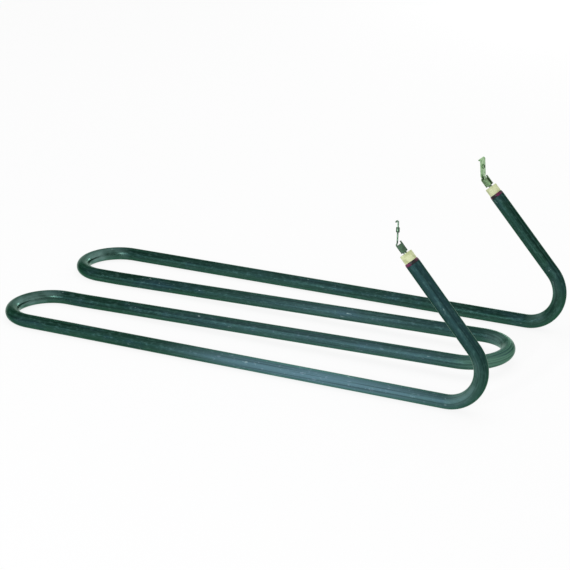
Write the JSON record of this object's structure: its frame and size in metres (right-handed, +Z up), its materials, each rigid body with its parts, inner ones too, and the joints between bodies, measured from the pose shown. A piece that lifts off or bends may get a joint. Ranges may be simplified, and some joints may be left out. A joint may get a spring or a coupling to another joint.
{
  "type": "tubular heating element",
  "caption": "Bare tubular heating element bent in flat side-by-side runs, both ends bent up and back, each with a ceramic bush and a folded terminal tag.",
  "frame": {"origin": "middle of the footprint on the floor, with the runs lying flat", "axes": "+X along the runs towards the leg bends, +Y across the runs towards the rear leg, +Z up"},
  "size_m": [0.335, 0.1434, 0.1065],
  "materials": {
    "sheath_metal": "dark green-black oxide skin, satin",
    "magnesia": "packed powder, matt",
    "resistance_wire": "drawn wire",
    "pin_steel": "dull plated",
    "seal_red": "dark red, satin",
    "bush_ceramic": "cream, matt",
    "tag_steel": "dull plated strip"
  },
  "bodies": {
    "root": {"sheath": "sheath_metal", "magnesia_core": "magnesia", "resistance_coil": "resistance_wire", "terminal_pin_front": "pin_steel", "end_seal_front": "seal_red", "ceramic_bush_front": "bush_ceramic", "terminal_tag_front": "tag_steel", "terminal_pin_rear": "pin_steel", "end_seal_rear": "seal_red", "ceramic_bush_rear": "bush_ceramic", "terminal_tag_rear": "tag_steel"}
  },
  "joints": []
}
